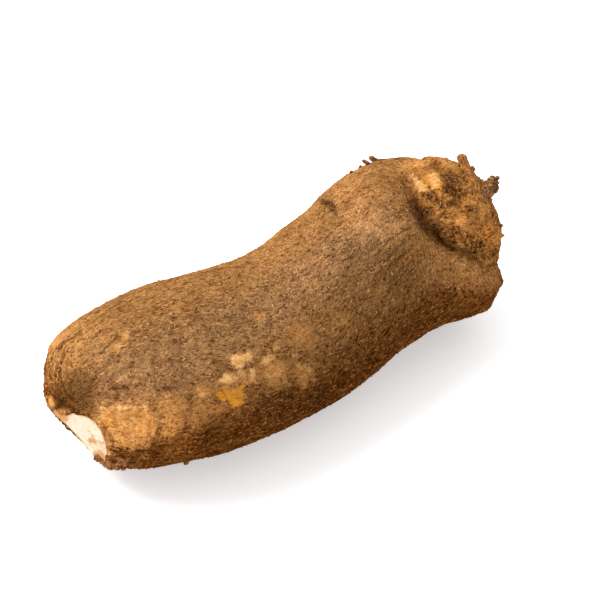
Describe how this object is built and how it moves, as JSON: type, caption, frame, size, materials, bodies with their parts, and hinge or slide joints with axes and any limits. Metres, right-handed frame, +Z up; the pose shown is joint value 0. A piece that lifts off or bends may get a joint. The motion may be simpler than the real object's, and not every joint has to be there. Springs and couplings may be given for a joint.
{
  "type": "white yam",
  "caption": "Whole white yam tuber lying on its side: long brown fibrous body with a waist, a knobbly crown lobe with a vine stump at the head, and a pale cut tail.",
  "frame": {"origin": "the middle of the small flat spot under the belly, on which the yam lies", "axes": "the tuber lies along X, its cut tail at -X and its crown at +X; +Z is up"},
  "size_m": [0.3219, 0.1285, 0.1253],
  "materials": {
    "yam_skin": "dry, rough, fibrous brown skin, lighter where it is scraped"
  },
  "bodies": {
    "root": {"yam": "yam_skin"}
  },
  "joints": []
}
